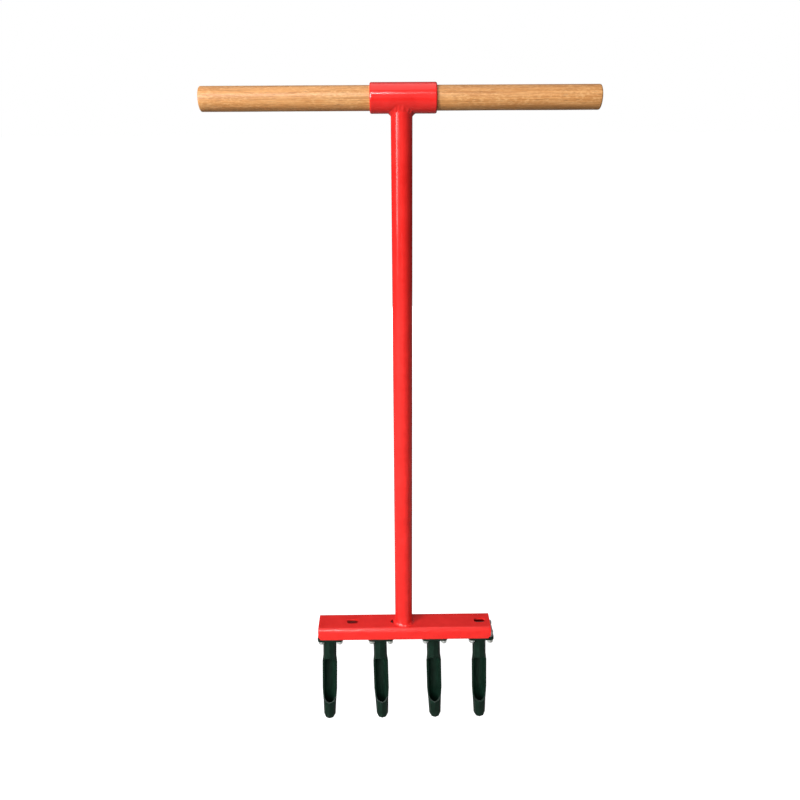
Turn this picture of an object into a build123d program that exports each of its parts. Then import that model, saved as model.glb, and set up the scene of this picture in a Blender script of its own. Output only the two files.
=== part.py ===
from build123d import *
import os
from math import atan2, cos, degrees, radians, sin, sqrt

# Hand core aerator: a wooden cross handle in a welded steel T, over a folded bar that
# carries four hollow coring tines. Each tine is welded to a plate that is bolted up
# against the bar's lips, and slides along the bar when its nuts are slack.
# Millimetres, +Z up. X runs along the handle and the bar, and -Y is the front, where
# the tine windows face. The origin is on the shaft's axis, level with the tine tips.

# ---- Driving dimensions -----------------------------------------------------------

# Heights
web_z = 176.0                # top of the bar's web, above the tine tips
handle_z = 893.0             # axis of the cross handle

# Cross handle
handle_d = 27.5
handle_len = 454.0
handle_mid_x = -1.0          # the dowel's middle, from the shaft's axis
handle_end_chamfer = 1.2

# Handle sleeve
sleeve_len = 76.0
sleeve_mid_x = 2.0           # the sleeve's middle, from the shaft's axis
sleeve_wall = 2.8
sleeve_fit = 0.2             # radial gap between dowel and sleeve
sleeve_edge_r = 1.8

# Screw that stops the dowel turning, at the back of the sleeve
screw_x = 20.0               # from the sleeve's middle
screw_d = 4.0
screw_len = 14.0             # under the head
screw_head_d = 7.6
screw_head_h = 2.0
screw_recess = 1.2
screw_gap = 0.15             # radial gap in the sleeve's hole

# Shaft
shaft_d = 25.0
shaft_wall = 2.0
upper_bead = 2.4
lower_bead = 3.2
bead_toe = 0.4               # thickness of a bead where it runs out on a wall

# Tine bar
bar_len = 252.0
bar_mid_x = 1.0
bar_width = 39.0
bar_height = 20.0
bar_wall = 2.5
bar_top_bend_r = 5.5
bar_bottom_bend_r = 3.5
lip_reach = 5.5              # from the bar's side to the lip's edge
corner_clip_x = 4.5
corner_clip_z = 7.5
slot_len = 16.5
slot_width = 9.0
slot_xs = (-76.5, -12.0, 110.8)          # slot centres, from the bar's middle

# Places of the tine sets along the bar, and the lean of each tine as welded
outer_inset_left = 16.8      # bar's left end to the middle of the first set's flange
outer_inset_right = 13.2     # bar's right end to the middle of the last set's flange
inner_set_xs = (-34.9, 44.4)             # second and third sets, from the bar's middle
tine_leans = (-2.2, 0.7, 1.7, 2.0)       # degrees, tip towards +X

# Tine, with heights measured up from its tip
tine_off_x = -1.7            # tine's axis at the flange, from the flange's middle
tine_r = 9.9                 # shank, across the corners
spoon_r = 11.2               # widest part, beside the window
neck_r = 9.9                 # at the foot of the window
tip_r = 8.9
bevel_r = 7.4                # cutting edge
bevel_h = 3.5
window_low = 30.5
window_high = 116.0
window_depth_y = -1.0        # the window is cut back to this plane
window_corner_r = 7.0
spoon_rise = 12.0            # height over which the shank widens into the spoon
spoon_fall = 22.0            # height over which the spoon narrows to the neck
bore_tip_r = 6.0
bore_spoon_r = 8.3
bore_step_low = 12.0         # the bore opens out between these two heights
bore_step_high = 27.0
bore_roof = 5.0              # top of the bore, above the window

# Flange and clamp plates
seat_gap = 0.1               # between the bar's lips and the plates that slide on them
flange_thick = 3.5
flange_inset_y = 2.5         # flange edge inside the bar's side
flange_end = 5.0             # bolt centre to the flange's end
flange_corner_r = 4.5
clamp_thick = 3.0
clamp_side_gap = 1.5
clamp_end = 3.4
clamp_corner_r = 2.0
spigot_up = 1.6              # tine spigot above the flange
spigot_shoulder = 0.8        # step from the shank in to the spigot
spigot_gap = 0.1
tine_bead = 1.8
tine_bead_gap = 1.5          # between the bead and the lips

# M5 fasteners
bolt_d = 5.0
bolt_len = 16.0
bolt_end_chamfer = 0.5
head_af = 8.0
head_h = 3.5
hex_corner_cut = 0.35
hole_gap = 0.3               # radial gap in the plates' bolt holes
thread_gap = 0.05
lip_bolt_gap = 0.4           # between a bolt and the lip beside it
washer_d = 9.2
washer_thick = 1.2
washer_split = 0.8           # width of the spring washer's cut
washer_split_lean = 20.0     # degrees
washer_tine_gap = 1.8
nut_af = 8.0
nut_h = 4.5
nut_collar_d = 7.0
nut_collar_h = 1.0

# ---- Sizes that follow ------------------------------------------------------------

sleeve_bore_r = handle_d / 2 + sleeve_fit
sleeve_r = sleeve_bore_r + sleeve_wall
shaft_r = shaft_d / 2

lip_z = web_z - bar_height
lip_half_gap = bar_width / 2 - lip_reach
bar_inner_width = bar_width - 2 * bar_wall
bar_left = bar_mid_x - bar_len / 2
bar_right = bar_mid_x + bar_len / 2

flange_top = lip_z - seat_gap
flange_low = flange_top - flange_thick
clamp_low = lip_z + bar_wall + seat_gap
clamp_top = clamp_low + clamp_thick
washer_low = flange_low - washer_thick

bolt_r = bolt_d / 2
bolt_y = lip_half_gap - lip_bolt_gap - bolt_r
bolt_x = abs(tine_off_x) + sqrt((tine_r + washer_tine_gap + washer_d / 2) ** 2 - bolt_y ** 2)
flange_len = 2 * (bolt_x + flange_end)
flange_width = bar_width - 2 * flange_inset_y
clamp_len = 2 * (bolt_x + clamp_end)
clamp_width = bar_inner_width - 2 * clamp_side_gap
spigot_r = min(tine_r - spigot_shoulder, lip_half_gap - tine_bead_gap - tine_bead)

set_xs = (
    bar_left + outer_inset_left,
    bar_mid_x + inner_set_xs[0],
    bar_mid_x + inner_set_xs[1],
    bar_right - outer_inset_right,
)
bolt_spots = [(sx * bolt_x, sy * bolt_y) for sx in (-1, 1) for sy in (-1, 1)]


# ---- Helpers ----------------------------------------------------------------------

def upright(radius, low, high):
    """Cylinder along Z between two heights."""
    return Pos(0, 0, low) * Cylinder(radius, high - low, align=(Align.CENTER, Align.CENTER, Align.MIN))


def along_x(radius, length, mid_x):
    """Cylinder along X, on the handle's axis."""
    return Pos(mid_x, 0, handle_z) * Rot(0, 90, 0) * Cylinder(radius, length)


def sleeve_form(radius):
    """Cylinder as long as the handle's sleeve."""
    return along_x(radius, sleeve_len, sleeve_mid_x)


def upright_cone(low_r, high_r, low, height):
    """Cone frustum along Z that stands on a height."""
    return Pos(0, 0, low) * Cone(low_r, high_r, height, align=(Align.CENTER, Align.CENTER, Align.MIN))


def plate(length, width, corner_r, low, thick, holes_r):
    """Flat plate with rounded corners and a hole at each bolt."""
    outline = RectangleRounded(length, width, corner_r)
    for x, y in bolt_spots:
        outline -= Pos(x, y) * Circle(holes_r)
    return Pos(0, 0, low) * extrude(outline, thick)


def hexagon(across_flats, height, turn):
    """Hexagon prism with its corners trimmed at both ends, standing on z = 0."""
    prism = extrude(RegularPolygon(across_flats / 2, 6, major_radius=False, rotation=turn), height)
    corner_r = across_flats / 2 / cos(radians(30))
    trim = upright(corner_r, 0, height)
    return prism & chamfer(trim.edges().filter_by(GeomType.CIRCLE), hex_corner_cut)


def at_bolts(solid_at):
    """One copy of a fastener at each bolt of a set, as a group of separate solids."""
    return Compound(children=[Pos(x, y, 0) * solid_at(x, y) for x, y in bolt_spots])


# ---- Handle and shaft -------------------------------------------------------------

def screw_hole(radius, depth):
    """Hole from the back of the sleeve towards the handle's axis."""
    centre_y = sleeve_r - depth / 2
    return Pos(sleeve_mid_x + screw_x, centre_y, handle_z) * Rot(90, 0, 0) * Cylinder(radius, depth)


def make_cross_handle():
    dowel = along_x(handle_d / 2, handle_len, handle_mid_x)
    dowel = chamfer(dowel.edges().filter_by(GeomType.CIRCLE), handle_end_chamfer)
    return dowel - screw_hole(screw_d / 2, screw_len)


def make_handle_sleeve():
    tube = sleeve_form(sleeve_r)
    tube = fillet(tube.edges().filter_by(GeomType.CIRCLE), sleeve_edge_r)
    tube -= sleeve_form(sleeve_bore_r)
    return tube - screw_hole(screw_d / 2 + screw_gap, screw_len)


def make_handle_screw():
    x = sleeve_mid_x + screw_x
    seat_y = sleeve_r * cos(screw_head_d / 2 / sleeve_r)
    head_len = sleeve_r + screw_head_h - seat_y
    head = Pos(x, seat_y + head_len / 2, handle_z) * Rot(-90, 0, 0) * Cylinder(screw_head_d / 2, head_len)
    outer_edge = head.edges().filter_by(GeomType.CIRCLE).sort_by(Axis.Y)[-1]
    head = fillet(outer_edge, screw_head_h * 0.6)
    head -= sleeve_form(sleeve_r)
    for turn in (0, 90):
        slot = Rot(0, turn, 0) * Box(screw_head_d * 0.55, 2 * screw_recess, screw_d * 0.22)
        head -= Pos(x, sleeve_r + screw_head_h, handle_z) * slot
    return head + screw_hole(screw_d / 2, screw_len)


def make_shaft_tube():
    tube = upright(shaft_r, web_z, handle_z) - upright(shaft_r - shaft_wall, web_z, handle_z)
    return tube - sleeve_form(sleeve_r)


def make_upper_weld():
    """Fillet bead round the saddle where the shaft meets the sleeve."""
    collar = upright(shaft_r + upper_bead, web_z, handle_z) & sleeve_form(sleeve_r + upper_bead)
    return collar - sleeve_form(sleeve_r) - upright(shaft_r, web_z, handle_z)


def make_lower_weld():
    """Fillet bead round the foot of the shaft, fitted to the bar's rounded bends."""
    skirt = upright(shaft_r + lower_bead, web_z - bar_top_bend_r, web_z)
    slope = upright_cone(shaft_r + lower_bead, shaft_r + bead_toe, web_z, lower_bead)
    inside = upright(shaft_r, web_z - bar_top_bend_r, web_z + lower_bead)
    return skirt + slope - inside - bar_blank()


# ---- Tine bar ---------------------------------------------------------------------

def channel_section(width, height, top_r, bottom_r):
    """Rectangle with one radius on its upper corners and another on its lower ones."""
    outline = Rectangle(width, height)
    outline = fillet(outline.vertices().group_by(Axis.Y)[-1], top_r)
    return fillet(outline.vertices().group_by(Axis.Y)[0], bottom_r)


def along_bar(section):
    """Section in the YZ plane, about the middle of the bar's height, run along the bar."""
    across = Plane(origin=(bar_left, 0, web_z - bar_height / 2), x_dir=(0, 1, 0), z_dir=(1, 0, 0))
    return extrude(across * section, bar_len)


def bar_blank():
    """The bar's outer form, filled in."""
    return along_bar(channel_section(bar_width, bar_height, bar_top_bend_r, bar_bottom_bend_r))


def make_tine_bar():
    hollow = channel_section(bar_inner_width, bar_height - 2 * bar_wall,
                             bar_top_bend_r - bar_wall, bar_bottom_bend_r - bar_wall)
    gap = Pos(0, -bar_height / 2) * Rectangle(2 * lip_half_gap, 3 * bar_wall)
    bar = bar_blank() - along_bar(hollow) - along_bar(gap)

    for x in slot_xs:
        slot = extrude(SlotOverall(slot_len, slot_width), 2 * bar_wall, both=True)
        bar -= Pos(bar_mid_x + x, 0, web_z) * slot

    for end_x, inward in ((bar_left, 1), (bar_right, -1)):
        corner = Polyline(
            (end_x, 0, lip_z),
            (end_x + inward * corner_clip_x, 0, lip_z),
            (end_x, 0, lip_z + corner_clip_z),
            close=True,
        )
        bar -= extrude(make_face(corner), bar_width, both=True)
    return bar


# ---- Tine set ---------------------------------------------------------------------

def octagon(radius, height):
    """Eight-sided section with a corner to the front."""
    return Pos(0, 0, height) * RegularPolygon(radius, 8)


def tine_bore():
    """Core bore, open at the tip, wider beside the window and domed at the top."""
    roof = window_high + bore_roof
    straight = roof - bore_spoon_r
    side = Polyline((0, 0), (bore_tip_r, 0), (bore_tip_r, bore_step_low),
                    (bore_spoon_r, bore_step_high), (bore_spoon_r, straight))
    dome = CenterArc((0, straight), bore_spoon_r, 0, 90)
    axis = Line((0, roof), (0, 0))
    return revolve(Plane.XZ * make_face(side + dome + axis), Axis.Z)


def tine_window():
    """Front opening, cut back to a plane, with ends that slope at 45 degrees."""
    front_y = -2 * spoon_r
    low_corner = window_low + (window_depth_y + neck_r)
    high_corner = window_high - (window_depth_y + tine_r)
    reach = window_depth_y - front_y
    outline = Polyline(
        (front_y, low_corner - reach),
        (window_depth_y, low_corner),
        (window_depth_y, high_corner),
        (front_y, high_corner + reach),
        close=True,
    )
    face = make_face(outline)
    inner_corners = face.vertices().group_by(Axis.X)[-1]
    face = fillet(inner_corners, window_corner_r)
    return extrude(Plane.YZ * face, 2 * spoon_r, both=True)


def make_tine(lean):
    """Tine about its own axis at the flange's underside, its lowest point at z = 0."""
    tilt = radians(abs(lean))
    length = (flange_low - bevel_r * sin(tilt)) / cos(tilt)
    sections = [
        octagon(bevel_r, 0),
        octagon(tip_r, bevel_h),
        octagon(neck_r, window_low),
        octagon(spoon_r, window_low + spoon_fall),
        octagon(spoon_r, window_high - spoon_rise),
        octagon(tine_r, window_high),
        octagon(tine_r, length),
    ]
    tine = loft(sections, ruled=True) - tine_bore() - tine_window()
    hung = Pos(0, 0, flange_low) * Rot(0, -lean, 0) * Pos(0, 0, -length) * tine
    hung -= Pos(0, 0, flange_low + flange_thick / 2) * Box(4 * tine_r, 4 * tine_r, flange_thick)
    return hung + upright(spigot_r, flange_low, flange_top + spigot_up)


def make_flange():
    flange = plate(flange_len, flange_width, flange_corner_r, flange_low, flange_thick, bolt_r + hole_gap)
    return flange - Pos(tine_off_x, 0, 0) * upright(spigot_r + spigot_gap, flange_low, flange_top)


def make_tine_weld():
    """Bead round the spigot on the flange's upper face, between the bar's lips."""
    bead = upright_cone(spigot_r + tine_bead, spigot_r + bead_toe, flange_top, spigot_up)
    return bead - upright(spigot_r, flange_top, flange_top + spigot_up)


def make_clamp_plate():
    return plate(clamp_len, clamp_width, clamp_corner_r, clamp_low, clamp_thick, bolt_r + hole_gap)


def flat_to_tine(x, y):
    """Turn that brings a flat of a hexagon round to face the tine."""
    return degrees(atan2(y, x - tine_off_x)) + 30


def bolt(x, y):
    shank = upright(bolt_r, clamp_top - bolt_len, clamp_top)
    shank = chamfer(shank.edges().filter_by(GeomType.CIRCLE).sort_by(Axis.Z)[0], bolt_end_chamfer)
    return shank + Pos(0, 0, clamp_top) * hexagon(head_af, head_h, flat_to_tine(x, y))


def washer(x, y):
    """Spring washer, cut through on the side away from the flange's middle."""
    ring = upright(washer_d / 2, washer_low, flange_low) - upright(bolt_r + hole_gap, washer_low, flange_low)
    split = Rot(washer_split_lean, 0, 0) * Box(washer_d, washer_split, 2 * washer_thick)
    outward = Pos(0, 0, washer_low + washer_thick / 2) * Rot(0, 0, degrees(atan2(y, x)))
    return ring - outward * Pos(washer_d / 2, 0, 0) * split


def nut(x, y):
    body = Pos(0, 0, washer_low - nut_h) * hexagon(nut_af, nut_h, flat_to_tine(x, y))
    collar_low = washer_low - nut_h - nut_collar_h
    body += upright(nut_collar_d / 2, collar_low, washer_low - nut_h)
    return body - upright(bolt_r + thread_gap, collar_low, washer_low)


# ---- Write the parts --------------------------------------------------------------

def main():
    parts = {
        "cross_handle": make_cross_handle(),
        "handle_sleeve": make_handle_sleeve(),
        "handle_screw": make_handle_screw(),
        "shaft_tube": make_shaft_tube(),
        "upper_weld": make_upper_weld(),
        "lower_weld": make_lower_weld(),
        "tine_bar": make_tine_bar(),
    }
    for number, (x, lean) in enumerate(zip(set_xs, tine_leans), start=1):
        pieces = {
            "tine": Pos(tine_off_x, 0, 0) * make_tine(lean),
            "tine_flange": make_flange(),
            "tine_weld": Pos(tine_off_x, 0, 0) * make_tine_weld(),
            "clamp_plate": make_clamp_plate(),
            "bolts": at_bolts(bolt),
            "washers": at_bolts(washer),
            "nuts": at_bolts(nut),
        }
        for name, piece in pieces.items():
            parts[f"{name}_{number}"] = Pos(x, 0, 0) * piece

    os.makedirs("parts", exist_ok=True)
    for name, shape in parts.items():
        export_step(shape, f"parts/{name}.step")


main()
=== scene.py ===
import math

import bmesh
import bpy
from mathutils import Matrix, Vector, noise


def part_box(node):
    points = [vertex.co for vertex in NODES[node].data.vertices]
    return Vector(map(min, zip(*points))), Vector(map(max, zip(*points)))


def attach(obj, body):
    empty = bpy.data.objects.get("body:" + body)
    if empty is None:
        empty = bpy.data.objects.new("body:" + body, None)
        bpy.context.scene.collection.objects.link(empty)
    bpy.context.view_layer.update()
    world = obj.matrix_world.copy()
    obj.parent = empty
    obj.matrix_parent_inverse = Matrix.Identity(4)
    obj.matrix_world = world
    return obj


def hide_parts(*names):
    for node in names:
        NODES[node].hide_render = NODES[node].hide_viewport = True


# Core aerator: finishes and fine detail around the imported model. Metres, +Z up, front to -Y.

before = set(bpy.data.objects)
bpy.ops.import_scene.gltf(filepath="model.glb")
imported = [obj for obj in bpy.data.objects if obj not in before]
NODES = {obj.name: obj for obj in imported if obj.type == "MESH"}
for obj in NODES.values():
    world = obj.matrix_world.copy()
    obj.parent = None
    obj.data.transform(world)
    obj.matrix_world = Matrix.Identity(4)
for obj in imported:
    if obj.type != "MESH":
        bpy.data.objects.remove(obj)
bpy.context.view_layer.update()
SETS = (1, 2, 3, 4)
MM = 0.001

# ---- Camera and floor --------------------------------------------------------------

SENSOR = 36.0
LENS = 33.75
CAMERA_AT = (-0.012872, -0.916543, 0.879838)
PITCH, YAW, ROLL = 0.3685, 0.01008, -0.0056        # radians: down, to the right, about the view
FLOOR_HALF = 30.0
FLOOR_DROP = 0.1 * MM          # keeps the floor off the tine tips

# ---- Sizes read from the frame -------------------------------------------------------

BAR_LOW, BAR_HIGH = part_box("tine_bar")
SHAFT_LOW, SHAFT_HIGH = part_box("shaft_tube")
SLEEVE_LOW, SLEEVE_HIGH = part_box("handle_sleeve")
DOWEL_LOW, DOWEL_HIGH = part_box("cross_handle")
WEB_Z = BAR_HIGH.z
HANDLE_Z = (SLEEVE_LOW.z + SLEEVE_HIGH.z) / 2
SLEEVE_R = (SLEEVE_HIGH.z - SLEEVE_LOW.z) / 2
SHAFT_R = (SHAFT_HIGH.x - SHAFT_LOW.x) / 2
DOWEL_R = (DOWEL_HIGH.z - DOWEL_LOW.z) / 2
BAR_HALF = (BAR_HIGH.y - BAR_LOW.y) / 2

# ---- Fine detail ---------------------------------------------------------------------

MERGE_DIST = 0.002 * MM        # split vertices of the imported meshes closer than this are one
FLAT_ANGLE = math.radians(0.5)     # triangles that meet at less than this are one face
HARD_ANGLE = math.radians(30)      # edges sharper than this are rounded
BAR_EDGE_R = 0.45 * MM
TINE_EDGE_R = 0.35 * MM
FLANGE_EDGE_R = 0.4 * MM
CLAMP_EDGE_R = 0.3 * MM
ROUND_SIDES = 48

BEND_R = 5.5 * MM              # the bar's upper bends
WELD_LEG = 2.9 * MM
WELD_SINK = 0.6 * MM           # how far a bead's root lies inside the joint
WELD_STEPS = 160               # rings of points in one turn of a bead
WELD_ACROSS = 9                # points across its face
WELD_WAVES = 17                # ripples in one turn
WELD_UNEVEN = 0.20             # share of the leg that its slow unevenness adds or takes
WELD_NOISE_R = 3.1             # radius of the circle in the noise that the unevenness is read on
WELD_DRIFT = 2.5               # radians that the unevenness moves the ripples by
WELD_BEAT = 0.07               # share of the leg that one ripple adds
WELD_SWELL = 0.11              # share of the leg that a ripple stands proud
WELD_HOLLOW = 0.42             # 0 for a flat bead, 1 for one drawn into the corner

DOWEL_END_R = 1.9 * MM
DOWEL_END_STEPS = 6
DOWEL_SPANS = 60
DOWEL_SIDES = 96
DOWEL_UNEVEN = 0.10 * MM
DOWEL_WAVES = 14               # rises and falls in a metre of its length
PITH_Y = 0.034                 # middle of the wood's growth rings, outside the dowel
PITH_DROP = 0.052
RING_WIDTH = 2.1 * MM

BOLT_R = 2.5 * MM
BOLT_TIP_IN = 0.7 * MM         # the bolt's tip is narrower than its thread by this much
BOLT_TIP_H = 0.45 * MM
THREAD_PITCH = 0.8 * MM
THREAD_DEPTH = 0.49 * MM
THREAD_LEN = 13.5 * MM
THREAD_SIDES = 24
THREAD_STEPS = 6               # rings of points in one turn of the thread
HEX_FLATS = 8.0 * MM           # across the flats, of bolt heads and nuts
HEX_FACE_SHARE = 0.94          # flat end face, as a share of the distance across the flats
HEX_CHAMFER = math.radians(28)
HEX_LEVELS = 7                 # rings down each chamfer
HEX_SIDES = 72
NUT_BORE_R = 2.55 * MM
COLLAR_R = 3.5 * MM
COLLAR_H = 1.0 * MM
COLLAR_LIP_R = 0.45 * MM
COLLAR_LIP_STEPS = 5
COLLAR_SINK = 0.05 * MM        # how far the collar reaches into the hexagon


# ---- Mesh helpers --------------------------------------------------------------------

def new_piece(name, bm, material, body, sharp_angle=35.0):
    """Object made from a bmesh, shaded smooth except across edges sharper than the angle."""
    bmesh.ops.recalc_face_normals(bm, faces=bm.faces)
    for face in bm.faces:
        face.smooth = True
    for edge in bm.edges:
        hard = edge.is_manifold and edge.calc_face_angle() > math.radians(sharp_angle)
        edge.smooth = not hard
    mesh = bpy.data.meshes.new(name)
    bm.to_mesh(mesh)
    bm.free()
    if "custom_normal" in mesh.attributes:
        mesh.attributes.remove(mesh.attributes["custom_normal"])
    mesh.materials.append(material)
    piece = bpy.data.objects.new(name, mesh)
    bpy.context.scene.collection.objects.link(piece)
    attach(piece, body)
    return piece


def add_rings(bm, rings, close_along=False):
    """Skin over rings of points. The first and last rings are capped, or joined to each other."""
    loops = [[bm.verts.new(point) for point in ring] for ring in rings]
    pairs = list(zip(loops, loops[1:]))
    if close_along:
        pairs.append((loops[-1], loops[0]))
    for low, high in pairs:
        for i in range(len(low)):
            j = (i + 1) % len(low)
            bm.faces.new((low[i], low[j], high[j], high[i]))
    if not close_along:
        bm.faces.new(list(reversed(loops[0])))
        bm.faces.new(loops[-1])


def circle_angles(count):
    return [2 * math.pi * i / count for i in range(count)]


def rounded_copy(node, edge_r, material, body):
    """The CAD node again, with its triangles merged into faces and its hard edges rounded."""
    bm = bmesh.new()
    bm.from_mesh(NODES[node].data)
    bmesh.ops.remove_doubles(bm, verts=bm.verts, dist=MERGE_DIST)
    bmesh.ops.dissolve_limit(bm, angle_limit=FLAT_ANGLE, verts=bm.verts, edges=bm.edges)
    hard = [e for e in bm.edges if e.is_manifold and e.calc_face_angle() > HARD_ANGLE]
    bmesh.ops.bevel(bm, geom=hard, offset=edge_r, segments=3, profile=0.5,
                    affect="EDGES", clamp_overlap=True)
    piece = new_piece(f"{node}_finished", bm, material, body, sharp_angle=50.0)
    soften = piece.modifiers.new("even shading", "WEIGHTED_NORMAL")
    soften.keep_sharp = True
    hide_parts(node)


# ---- Node helpers --------------------------------------------------------------------

def feed(tree, socket, value):
    """Links another node's socket into an input, or sets the input's own value."""
    if isinstance(value, bpy.types.NodeSocket):
        tree.links.new(value, socket)
    else:
        socket.default_value = value


def add(tree, kind, inputs=None, **settings):
    """Shader node with its settings, and its inputs set or linked."""
    node = tree.nodes.new("ShaderNode" + kind)
    for key, value in settings.items():
        setattr(node, key, value)
    for key, value in (inputs or {}).items():
        feed(tree, node.inputs[key], value)
    return node


def start_material(name):
    """Empty material with a Principled shader, and its tree."""
    material = bpy.data.materials.new(name)
    material.use_nodes = True
    tree = material.node_tree
    tree.nodes.clear()
    shader = add(tree, "BsdfPrincipled")
    add(tree, "OutputMaterial", {"Surface": shader.outputs["BSDF"]})
    return material, tree, shader


def finish_material(tree, shader, colour, rough, normal):
    """Links the three sockets that vary over the surface."""
    for name, value in (("Base Color", colour), ("Roughness", rough), ("Normal", normal)):
        tree.links.new(value, shader.inputs[name])


def stretched(tree, scale, offset=(0, 0, 0)):
    """Object coordinates, scaled along each axis."""
    place = add(tree, "TexCoord")
    return add(tree, "Mapping", {"Vector": place.outputs["Object"], "Scale": scale,
                                 "Location": offset}).outputs["Vector"]


def grain(tree, vector, scale, detail=3.0, roughness=0.5):
    """Noise from about 0 to 1."""
    return add(tree, "TexNoise", {"Vector": vector, "Scale": scale, "Detail": detail,
                                  "Roughness": roughness}).outputs["Fac"]


def ramp(tree, fac, stops):
    """Colour ramp through (position, colour) stops; a colour may be one number."""
    node = add(tree, "ValToRGB", {"Fac": fac})
    elements = node.color_ramp.elements
    while len(elements) < len(stops):
        elements.new(0.5)
    for element, (position, colour) in zip(elements, stops):
        element.position = position
        element.color = (colour, colour, colour, 1) if isinstance(colour, float) else (*colour, 1)
    return node.outputs["Color"]


def mix(tree, fac, first, second):
    """Colour mix of two colours or sockets. The node keeps its colours' sockets at these places."""
    node = add(tree, "Mix", data_type="RGBA")
    for place, value in ((0, fac), (6, first), (7, second)):
        feed(tree, node.inputs[place], (*value, 1) if isinstance(value, tuple) else value)
    return node.outputs[2]


def math_node(tree, operation, first, second=0.0):
    return add(tree, "Math", {0: first, 1: second}, operation=operation).outputs[0]


def bump(tree, height, depth, strength, under=None):
    inputs = {"Height": height, "Distance": depth, "Strength": strength}
    if under is not None:
        inputs["Normal"] = under
    return add(tree, "Bump", inputs).outputs["Normal"]


# ---- Materials -----------------------------------------------------------------------

def red_enamel():
    """Glossy red enamel with a little orange peel."""
    material, tree, shader = start_material("red_enamel")
    place = stretched(tree, (1, 1, 1))
    cloud = grain(tree, place, 38.0, 4.0, 0.6)
    speck = grain(tree, place, 950.0, 1.0)
    colour = ramp(tree, cloud, [(0.25, (0.70, 0.014, 0.011)), (0.5, (0.78, 0.019, 0.015)),
                                (0.75, (0.85, 0.024, 0.019))])
    dust = ramp(tree, speck, [(0.74, 0.0), (0.84, 0.35)])
    colour = mix(tree, dust, colour, (0.38, 0.008, 0.006))
    peel = grain(tree, place, 620.0, 2.0)
    flow = grain(tree, place, 90.0, 2.0)
    normal = bump(tree, flow, 0.10 * MM, 0.13)
    normal = bump(tree, peel, 0.012 * MM, 0.11, under=normal)
    rough = ramp(tree, grain(tree, place, 130.0, 5.0, 0.65), [(0.3, 0.16), (0.7, 0.27)])
    finish_material(tree, shader, colour, rough, normal)
    shader.inputs["Coat Weight"].default_value = 0.5
    shader.inputs["Coat Roughness"].default_value = 0.09
    return material


def growth_rings(tree):
    """Ring colours about a pith outside the dowel, wandering a little along it."""
    place = add(tree, "TexCoord").outputs["Object"]
    wander = grain(tree, stretched(tree, (5.0, 30.0, 30.0)), 1.0, 3.0, 0.6)
    parts = add(tree, "SeparateXYZ", {"Vector": place})
    ring_y = math_node(tree, "SUBTRACT", parts.outputs["Y"], PITH_Y)
    ring_z = math_node(tree, "SUBTRACT", parts.outputs["Z"], HANDLE_Z - PITH_DROP)
    squares = [math_node(tree, "POWER", side, 2.0) for side in (ring_y, ring_z)]
    reach = math_node(tree, "SQRT", math_node(tree, "ADD", *squares))
    reach = math_node(tree, "ADD", reach, math_node(tree, "MULTIPLY", wander, 0.010))
    reach = math_node(tree, "ADD", reach, math_node(tree, "MULTIPLY", parts.outputs["X"], 0.004))
    phase = math_node(tree, "FRACT", math_node(tree, "MULTIPLY", reach, 1 / RING_WIDTH))
    late, early = (0.47, 0.195, 0.050), (0.70, 0.335, 0.112)
    return ramp(tree, phase, [(0.0, late), (0.16, (0.63, 0.290, 0.092)), (0.72, early),
                              (0.93, (0.62, 0.272, 0.082)), (1.0, late)])


def wood_flecks(tree, colour):
    """Light and dark flecks over a colour, stronger in some patches than in others."""
    fleck = grain(tree, stretched(tree, (240.0, 560.0, 560.0), (3.1, 0.2, 1.4)), 1.0, 2.0, 0.6)
    patch = grain(tree, stretched(tree, (11.0, 60.0, 60.0), (5.0, 1.0, 0.0)), 1.0, 2.0)
    patch = ramp(tree, patch, [(0.38, 0.25), (0.62, 1.0)])
    light = math_node(tree, "MULTIPLY", ramp(tree, fleck, [(0.50, 0.0), (0.68, 0.50)]), patch)
    dark = math_node(tree, "MULTIPLY", ramp(tree, fleck, [(0.32, 0.40), (0.47, 0.0)]), patch)
    colour = mix(tree, light, colour, (0.86, 0.52, 0.235))
    return mix(tree, dark, colour, (0.47, 0.185, 0.055))


def hardwood():
    """Light straight-grained hardwood: growth rings, fibres, flecks, streaks and pores."""
    material, tree, shader = start_material("hardwood")
    rings = growth_rings(tree)
    fibre = grain(tree, stretched(tree, (9.0, 620.0, 620.0)), 1.0, 4.0, 0.62)
    colour = mix(tree, ramp(tree, fibre, [(0.34, 0.60), (0.62, 0.0)]), rings, (0.40, 0.158, 0.042))
    mottle = grain(tree, stretched(tree, (22.0, 90.0, 90.0)), 1.0, 3.0, 0.6)
    colour = mix(tree, ramp(tree, mottle, [(0.45, 0.0), (0.78, 0.5)]), colour, (0.80, 0.45, 0.185))
    colour = wood_flecks(tree, colour)
    streak = grain(tree, stretched(tree, (4.5, 170.0, 170.0), (0.4, 2.2, 0.7)), 1.0, 2.0, 0.5)
    streak = ramp(tree, streak, [(0.57, 0.0), (0.70, 0.60)])
    colour = mix(tree, streak, colour, (0.38, 0.150, 0.036))
    pores = grain(tree, stretched(tree, (95.0, 1900.0, 1900.0)), 1.0, 1.0)
    pores = ramp(tree, pores, [(0.63, 0.0), (0.72, 0.8)])
    colour = mix(tree, pores, colour, (0.27, 0.110, 0.032))
    normal = bump(tree, fibre, 0.10 * MM, 0.4)
    normal = bump(tree, math_node(tree, "MULTIPLY", pores, -1.0), 0.12 * MM, 0.4, under=normal)
    rough = ramp(tree, fibre, [(0.3, 0.36), (0.7, 0.50)])
    finish_material(tree, shader, colour, rough, normal)
    shader.inputs["Coat Weight"].default_value = 0.18
    shader.inputs["Coat Roughness"].default_value = 0.3
    return material


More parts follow.
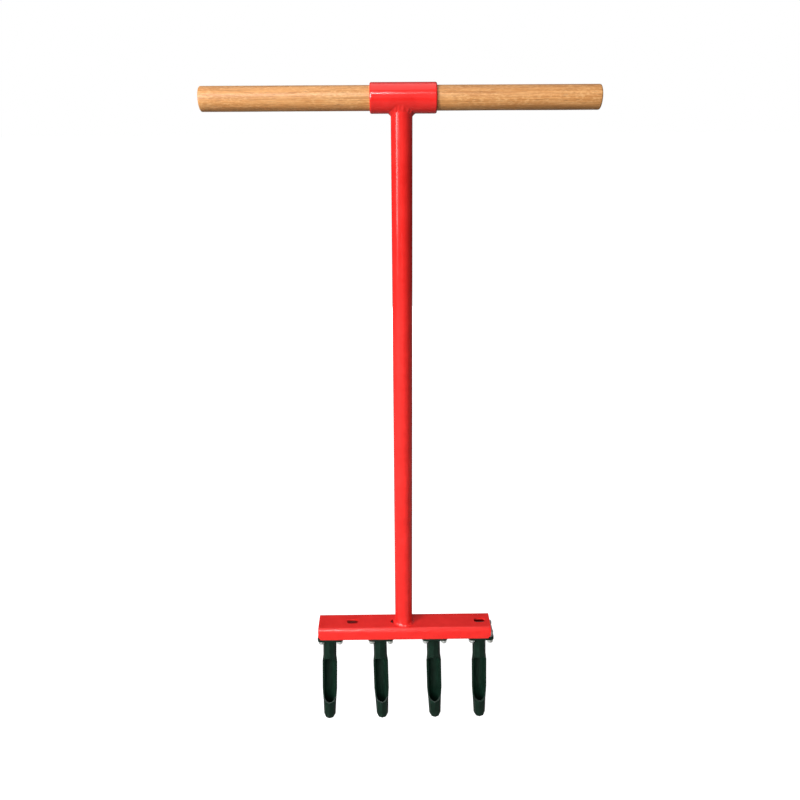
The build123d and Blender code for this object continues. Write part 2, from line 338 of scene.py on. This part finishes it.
def black_coating():
    """Black coating over forged steel, tinted very dark green as a painted reflection of green grass,
    scuffed a little at the tine's mouth.
    """
    material, tree, shader = start_material("black_coating")
    place = stretched(tree, (1, 1, 1))
    cloud = grain(tree, place, 120.0, 5.0, 0.62)
    # The green in these colours is a painted reflection of green grass; the coating itself is black.
    colour = ramp(tree, cloud, [(0.28, (0.0022, 0.0105, 0.0058)), (0.52, (0.0040, 0.0170, 0.0100)),
                                (0.76, (0.0078, 0.0260, 0.0170))])
    drawn = grain(tree, stretched(tree, (700.0, 700.0, 40.0)), 1.0, 3.0, 0.6)
    height = add(tree, "SeparateXYZ", {"Vector": add(tree, "TexCoord").outputs["Object"]})
    low_down = add(tree, "MapRange", {"Value": height.outputs["Z"], "From Min": 14 * MM,
                                      "From Max": 0.0}).outputs["Result"]
    scuff = math_node(tree, "MULTIPLY", ramp(tree, drawn, [(0.58, 0.0), (0.70, 1.0)]), low_down)
    colour = mix(tree, math_node(tree, "MULTIPLY", scuff, 0.4), colour, (0.16, 0.18, 0.17))
    rough = ramp(tree, grain(tree, place, 260.0, 4.0, 0.6), [(0.3, 0.30), (0.7, 0.46)])
    normal = bump(tree, cloud, 0.15 * MM, 0.3)
    normal = bump(tree, drawn, 0.03 * MM, 0.3, under=normal)
    finish_material(tree, shader, colour, rough, normal)
    shader.inputs["Specular IOR Level"].default_value = 0.30
    return material


def zinc(name, low, high, rough_low, rough_high, brushed):
    """Zinc plating with cloudy crystals and fine marks; brushed gives the marks' stretch."""
    material, tree, shader = start_material(name)
    place = stretched(tree, (1, 1, 1))
    cloud = grain(tree, place, 420.0, 4.0, 0.6)
    tint = grain(tree, place, 110.0, 2.0)
    colour = ramp(tree, cloud, [(0.3, low), (0.7, high)])
    colour = mix(tree, ramp(tree, tint, [(0.5, 0.0), (0.75, 0.35)]), colour, (0.78, 0.76, 0.62))
    marks = grain(tree, stretched(tree, brushed), 1.0, 3.0, 0.6)
    rough = ramp(tree, marks, [(0.3, rough_low), (0.7, rough_high)])
    finish_material(tree, shader, colour, rough, bump(tree, marks, 0.03 * MM, 0.35))
    shader.inputs["Metallic"].default_value = 0.72
    return material


def pale_floor():
    """Plain pale paper. The camera sees it lighter than the light that it throws back up."""
    material, tree, shader = start_material("pale_floor")
    fibre = grain(tree, stretched(tree, (1, 1, 1)), 9.0, 3.0)
    colour = ramp(tree, fibre, [(0.3, 0.34), (0.7, 0.36)])
    tree.links.new(colour, shader.inputs["Base Color"])
    shader.inputs["Roughness"].default_value = 0.9
    shader.inputs["Specular IOR Level"].default_value = 0.1
    dim = add(tree, "BsdfDiffuse", {"Color": (0.20, 0.20, 0.19, 1)})
    glow = add(tree, "Emission", {"Color": (1, 1, 1, 1), "Strength": 0.97})
    lit = add(tree, "AddShader")
    tree.links.new(shader.outputs["BSDF"], lit.inputs[0])
    tree.links.new(glow.outputs["Emission"], lit.inputs[1])
    seen = add(tree, "LightPath").outputs["Is Camera Ray"]
    both = add(tree, "MixShader", {"Fac": seen})
    tree.links.new(dim.outputs["BSDF"], both.inputs[1])
    tree.links.new(lit.outputs["Shader"], both.inputs[2])
    output = next(n for n in tree.nodes if n.type == "OUTPUT_MATERIAL")
    tree.links.new(both.outputs["Shader"], output.inputs["Surface"])
    return material


# ---- Handle --------------------------------------------------------------------------

def make_dowel(material):
    """Turned dowel with rounded ends and a very slight unevenness along its length."""
    left, right = DOWEL_LOW.x, DOWEL_HIGH.x
    arc = [math.pi / 2 * step / DOWEL_END_STEPS for step in range(DOWEL_END_STEPS + 1)]
    end = [(DOWEL_END_R * (1 - math.cos(a)), DOWEL_END_R * (1 - math.sin(a))) for a in arc]
    span = right - left - 2 * DOWEL_END_R
    profile = [(left + inset, drop) for inset, drop in end]
    profile += [(left + DOWEL_END_R + span * i / DOWEL_SPANS, 0.0) for i in range(1, DOWEL_SPANS)]
    profile += [(right - inset, drop) for inset, drop in reversed(end)]
    rings = []
    for x, drop in profile:
        ring = []
        for angle in circle_angles(DOWEL_SIDES):
            around = Vector((x * DOWEL_WAVES, math.cos(angle), math.sin(angle)))
            radius = DOWEL_R - drop + min(0.0, DOWEL_UNEVEN * (noise.noise(around) - 0.5))
            ring.append((x, radius * math.cos(angle), HANDLE_Z + radius * math.sin(angle)))
        rings.append(ring)
    bm = bmesh.new()
    add_rings(bm, rings)
    piece = new_piece("cross_handle_dowel", bm, material, "frame")
    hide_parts("cross_handle")


# ---- Welds ---------------------------------------------------------------------------

def make_bead(name, centre_x, radius, leg, surface, upwards, material, body, seed):
    """Weld bead round an upright tube, where it meets a surface given as z = surface(x, y).
    upwards is 1 where the tube rises from the surface, and -1 where it hangs from it."""
    rings = []
    for angle in circle_angles(WELD_STEPS):
        out = Vector((math.cos(angle), math.sin(angle)))
        around = Vector((math.cos(angle) * WELD_NOISE_R, math.sin(angle) * WELD_NOISE_R, seed))
        ripple = noise.noise(around)
        beat = 0.5 + 0.5 * math.sin(angle * WELD_WAVES + WELD_DRIFT * ripple)
        reach = leg * (1 + WELD_UNEVEN * ripple + WELD_BEAT * beat)
        foot = out * radius
        root_z = surface(foot.x, foot.y)
        wall = Vector((radius, root_z + upwards * reach))
        toe_r = radius + reach
        toe = Vector((toe_r, surface(out.x * toe_r, out.y * toe_r)))
        corner = Vector((radius, root_z))
        middle = wall.lerp(toe, 0.5)
        pull = middle.lerp(corner, WELD_HOLLOW)
        swell = WELD_SWELL * leg * beat
        away = (middle - corner).normalized()
        ring = []
        for i in range(WELD_ACROSS):
            t = i / (WELD_ACROSS - 1)
            point = wall * (1 - t) ** 2 + pull * 2 * t * (1 - t) + toe * t ** 2
            point = point + away * swell * math.sin(math.pi * t)
            ring.append((centre_x + out.x * point.x, out.y * point.x, point.y))
        inner_r = radius - WELD_SINK
        root = corner.y - upwards * WELD_SINK
        ring.append((centre_x + out.x * inner_r, out.y * inner_r, root))
        rings.append(ring)
    bm = bmesh.new()
    add_rings(bm, rings, close_along=True)
    return new_piece(name, bm, material, body, sharp_angle=60.0)


def sleeve_underside(x, y):
    return HANDLE_Z - math.sqrt(max(SLEEVE_R ** 2 - y ** 2, 0.0))


def bar_topside(x, y):
    """Height of the bar's web, which falls away over its bends."""
    over = max(abs(y) - (BAR_HALF - BEND_R), 0.0)
    return WEB_Z - (BEND_R - math.sqrt(max(BEND_R ** 2 - over ** 2, 0.0)))


def make_frame_welds(material):
    upper = make_bead("upper_weld_bead", 0.0, SHAFT_R, WELD_LEG, sleeve_underside, -1,
                      material, "frame", 1.7)
    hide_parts("upper_weld")
    lower = make_bead("lower_weld_bead", 0.0, SHAFT_R, WELD_LEG, bar_topside, 1,
                      material, "frame", 5.3)
    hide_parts("lower_weld")


def make_tine_welds(material):
    for number in SETS:
        low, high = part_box(f"tine_weld_{number}")
        centre_x = (low.x + high.x) / 2
        leg = high.z - low.z
        spigot_r = (high.x - low.x) / 2 - leg
        bead = make_bead(f"tine_weld_bead_{number}", centre_x, spigot_r, leg,
                         lambda x, y, z=low.z: z, 1, material,
                         f"tine_set_{number}", 9.0 + number)
        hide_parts(f"tine_weld_{number}")


# ---- Fasteners -----------------------------------------------------------------------

def hexagon_radius(angle, turn):
    """Distance from a hexagon's middle to its side in a direction."""
    sector = math.pi / 3
    off = (angle - turn) % sector - sector / 2
    return HEX_FLATS / 2 / math.cos(off)


def hexagon_rings(centre, low, high, turn, chamfer_low, chamfer_high):
    """Rings of a hexagon whose corners are turned to a cone at either end."""
    corner = HEX_FLATS / 2 / math.cos(math.pi / 6)
    face_r = HEX_FLATS / 2 * HEX_FACE_SHARE
    rise = (corner - face_r) * math.tan(HEX_CHAMFER)
    steps = [rise * i / HEX_LEVELS for i in range(HEX_LEVELS + 1)]
    heights = [low + step for step in steps] + [high - step for step in reversed(steps)]
    rings = []
    for z in heights:
        cap = corner
        if chamfer_low:
            cap = min(cap, face_r + (z - low) / math.tan(HEX_CHAMFER))
        if chamfer_high:
            cap = min(cap, face_r + (high - z) / math.tan(HEX_CHAMFER))
        ring = []
        for angle in circle_angles(HEX_SIDES):
            radius = min(hexagon_radius(angle, turn), cap)
            ring.append((centre.x + radius * math.cos(angle), centre.y + radius * math.sin(angle), z))
        rings.append(ring)
    return rings


def round_rings(centre, profile, count=ROUND_SIDES):
    """Rings about an upright axis, from (radius, height) pairs."""
    return [[(centre.x + radius * math.cos(a), centre.y + radius * math.sin(a), z)
             for a in circle_angles(count)] for radius, z in profile]


def thread_rings(centre, radius, low, high):
    """Rings of a screw thread: the radius follows a helix, and fades out at both ends."""
    count = round((high - low) / THREAD_PITCH * THREAD_STEPS)
    rings = []
    for i in range(count + 1):
        z = low + (high - low) * i / count
        fade = min(1.0, (z - low) / THREAD_PITCH, (high - z) / THREAD_PITCH)
        ring = []
        for angle in circle_angles(THREAD_SIDES):
            turn = (z / THREAD_PITCH - angle / (2 * math.pi)) % 1.0
            groove = THREAD_DEPTH * (1 - abs(2 * turn - 1)) * fade
            here = radius - groove
            ring.append((centre.x + here * math.cos(angle), centre.y + here * math.sin(angle), z))
        rings.append(ring)
    return rings


def island_boxes(node):
    """Lowest and highest corners of each separate solid in a CAD node, sorted by place."""
    bm = bmesh.new()
    bm.from_mesh(NODES[node].data)
    bmesh.ops.remove_doubles(bm, verts=bm.verts, dist=MERGE_DIST)
    left = set(bm.verts)
    boxes = []
    while left:
        front = [left.pop()]
        found = list(front)
        while front:
            vert = front.pop()
            for edge in vert.link_edges:
                other = edge.other_vert(vert)
                if other in left:
                    left.remove(other)
                    front.append(other)
                    found.append(other)
        low = Vector([min(v.co[i] for v in found) for i in range(3)])
        high = Vector([max(v.co[i] for v in found) for i in range(3)])
        boxes.append((low, high))
    bm.free()
    return sorted(boxes, key=lambda pair: (round(pair[0].x, 5), round(pair[0].y, 5)))


def hexagon_turn(centre, number):
    """Angle of the corner that points straight away from the tine's axis."""
    low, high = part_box(f"tine_weld_{number}")
    middle = (low + high) / 2
    return math.atan2(centre.y - middle.y, centre.x - middle.x)


def make_bolts(number, material):
    """Hexagon bolts with a chamfered head, a plain shank and a cut thread."""
    bm = bmesh.new()
    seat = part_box(f"clamp_plate_{number}")[1].z
    for low, high in island_boxes(f"bolts_{number}"):
        centre = (low + high) / 2
        turn = hexagon_turn(centre, number)
        add_rings(bm, hexagon_rings(centre, seat, high.z, turn, False, True))
        thread_high = low.z + THREAD_LEN
        add_rings(bm, round_rings(centre, [(BOLT_R, thread_high), (BOLT_R, seat)], THREAD_SIDES))
        rings = round_rings(centre, [(BOLT_R - BOLT_TIP_IN, low.z)], THREAD_SIDES)
        rings += thread_rings(centre, BOLT_R, low.z + BOLT_TIP_H, thread_high)
        add_rings(bm, rings)
    piece = new_piece(f"bolts_threaded_{number}", bm, material, f"tine_set_{number}")
    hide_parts(f"bolts_{number}")


def collar_profile(low_z, body_low):
    """(radius, height) pairs of a nut's collar, from its bore over its rounded lip to its outside."""
    lip = COLLAR_LIP_R
    curve = [math.pi / 2 * step / COLLAR_LIP_STEPS for step in range(COLLAR_LIP_STEPS + 1)]
    profile = [(NUT_BORE_R, body_low), (NUT_BORE_R, low_z + lip)]
    profile += [(NUT_BORE_R + lip * (1 - math.cos(a)), low_z + lip * (1 - math.sin(a)))
                for a in curve[1:]]
    profile += [(COLLAR_R - lip * (1 - math.sin(a)), low_z + lip * (1 - math.cos(a)))
                for a in curve]
    return profile + [(COLLAR_R, body_low + COLLAR_SINK)]


def make_nuts(number, material):
    """Locking nuts: a chamfered hexagon with a rounded collar turned over at its lower end."""
    bm = bmesh.new()
    for low, high in island_boxes(f"nuts_{number}"):
        centre = (low + high) / 2
        body_low = low.z + COLLAR_H
        turn = hexagon_turn(centre, number)
        add_rings(bm, hexagon_rings(centre, body_low, high.z, turn, True, True))
        add_rings(bm, round_rings(centre, collar_profile(low.z, body_low)))
    piece = new_piece(f"lock_nuts_{number}", bm, material, f"tine_set_{number}")
    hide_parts(f"nuts_{number}")


def make_fasteners(material):
    for number in SETS:
        make_bolts(number, material)
        make_nuts(number, material)


# ---- Studio --------------------------------------------------------------------------

def make_camera():
    data = bpy.data.cameras.new("camera")
    data.sensor_width = SENSOR
    data.lens = LENS
    camera = bpy.data.objects.new("camera", data)
    bpy.context.scene.collection.objects.link(camera)
    ahead = Vector((math.sin(YAW) * math.cos(PITCH), math.cos(YAW) * math.cos(PITCH), -math.sin(PITCH)))
    side = Vector((math.cos(YAW), -math.sin(YAW), 0))
    up = side.cross(ahead)
    rolled_side = math.cos(ROLL) * side + math.sin(ROLL) * up
    rolled_up = -math.sin(ROLL) * side + math.cos(ROLL) * up
    turn = Matrix((rolled_side, rolled_up, -ahead)).transposed().to_4x4()
    turn.translation = Vector(CAMERA_AT)
    camera.matrix_world = turn
    bpy.context.scene.camera = camera


def make_floor():
    bm = bmesh.new()
    bmesh.ops.create_grid(bm, x_segments=8, y_segments=8, size=FLOOR_HALF)
    mesh = bpy.data.meshes.new("floor")
    bm.to_mesh(mesh)
    bm.free()
    mesh.materials.append(pale_floor())
    floor = bpy.data.objects.new("floor", mesh)
    floor.location.z = -FLOOR_DROP
    bpy.context.scene.collection.objects.link(floor)


def soft_light(name, place, aim, width, height, power, diffuse=True, glossy=True, spread=180):
    """Rectangular light turned to a point. It may leave out the matt or the gloss part of its light.
    spread is the angle in degrees that it fans out to."""
    data = bpy.data.lights.new(name, "AREA")
    data.shape = "RECTANGLE"
    data.size = width
    data.size_y = height
    data.energy = power
    data.spread = math.radians(spread)
    light = bpy.data.objects.new(name, data)
    light.visible_diffuse = diffuse
    light.visible_glossy = glossy
    light.location = place
    away = Vector(place) - Vector(aim)
    light.rotation_euler = away.to_track_quat("Z", "Y").to_euler()
    bpy.context.scene.collection.objects.link(light)


def make_lights():
    """Key from the upper left, two narrow windows that draw the highlights, a card overhead, fills."""
    soft_light("key", (-1.85, -1.75, 1.55), (0, 0, 0.5), 1.2, 1.1, 80.0)
    soft_light("side window", (-1.75, -1.25, 1.05), (0, 0, 0.7), 0.50, 1.3, 10.0)
    soft_light("high window", (-0.42, -1.66, 2.10), (0, 0, HANDLE_Z), 0.8, 0.05, 15.0)
    soft_light("overhead card", (-0.3, 0.1, 2.6), (0, 0, 0.9), 2.2, 1.5, 9.0, diffuse=False)
    soft_light("front fill", (-0.3, -2.6, 1.3), (0, 0, 0.6), 1.8, 1.0, 9.0, glossy=False)
    soft_light("low fill", (-0.3, -2.2, 0.32), (0, 0, 0.12), 1.0, 0.3, 0.85, glossy=False, spread=36)
    soft_light("side fill", (1.9, 1.9, 0.9), (0, 0, 0.5), 1.4, 1.0, 9.0, glossy=False)
    soft_light("rear fill", (0.2, 2.6, 0.45), (0, 0, 0.5), 2.0, 0.9, 34.0, glossy=False)
    world = bpy.data.worlds.new("studio")
    world.use_nodes = True
    tree = world.node_tree
    tree.nodes.clear()
    around = add(tree, "Background", {"Color": (0.93, 0.96, 1.0, 1), "Strength": 0.13})
    backdrop = add(tree, "Background", {"Color": (1, 1, 1, 1), "Strength": 1.0})
    both = add(tree, "MixShader", {"Fac": add(tree, "LightPath").outputs["Is Camera Ray"]})
    tree.links.new(around.outputs[0], both.inputs[1])
    tree.links.new(backdrop.outputs[0], both.inputs[2])
    add(tree, "OutputWorld", {"Surface": both.outputs[0]})
    bpy.context.scene.world = world
    bpy.context.scene.view_settings.view_transform = "Standard"


# ---- Dress the model -----------------------------------------------------------------

def dress(node, material):
    """Gives a CAD node, kept as it is, a finished material."""
    for slot in NODES[node].material_slots:
        slot.material = material


def main():
    red = red_enamel()
    wood = hardwood()
    black = black_coating()
    bright = zinc("bright_zinc", (0.74, 0.77, 0.75), (0.90, 0.92, 0.90), 0.30, 0.48,
                  (900.0, 900.0, 900.0))
    strip = zinc("zinc_strip", (0.50, 0.52, 0.52), (0.66, 0.68, 0.67), 0.34, 0.50,
                 (60.0, 900.0, 900.0))

    make_dowel(wood)
    make_frame_welds(red)
    for node in ("handle_sleeve", "shaft_tube"):
        dress(node, red)
    rounded_copy("tine_bar", BAR_EDGE_R, red, "frame")
    dress("handle_screw", bright)
    for number in SETS:
        body = f"tine_set_{number}"
        rounded_copy(f"tine_{number}", TINE_EDGE_R, black, body)
        rounded_copy(f"tine_flange_{number}", FLANGE_EDGE_R, black, body)
        rounded_copy(f"clamp_plate_{number}", CLAMP_EDGE_R, strip, body)
        dress(f"washers_{number}", bright)
    make_tine_welds(black)
    make_fasteners(bright)

    make_camera()
    make_floor()
    make_lights()


main()
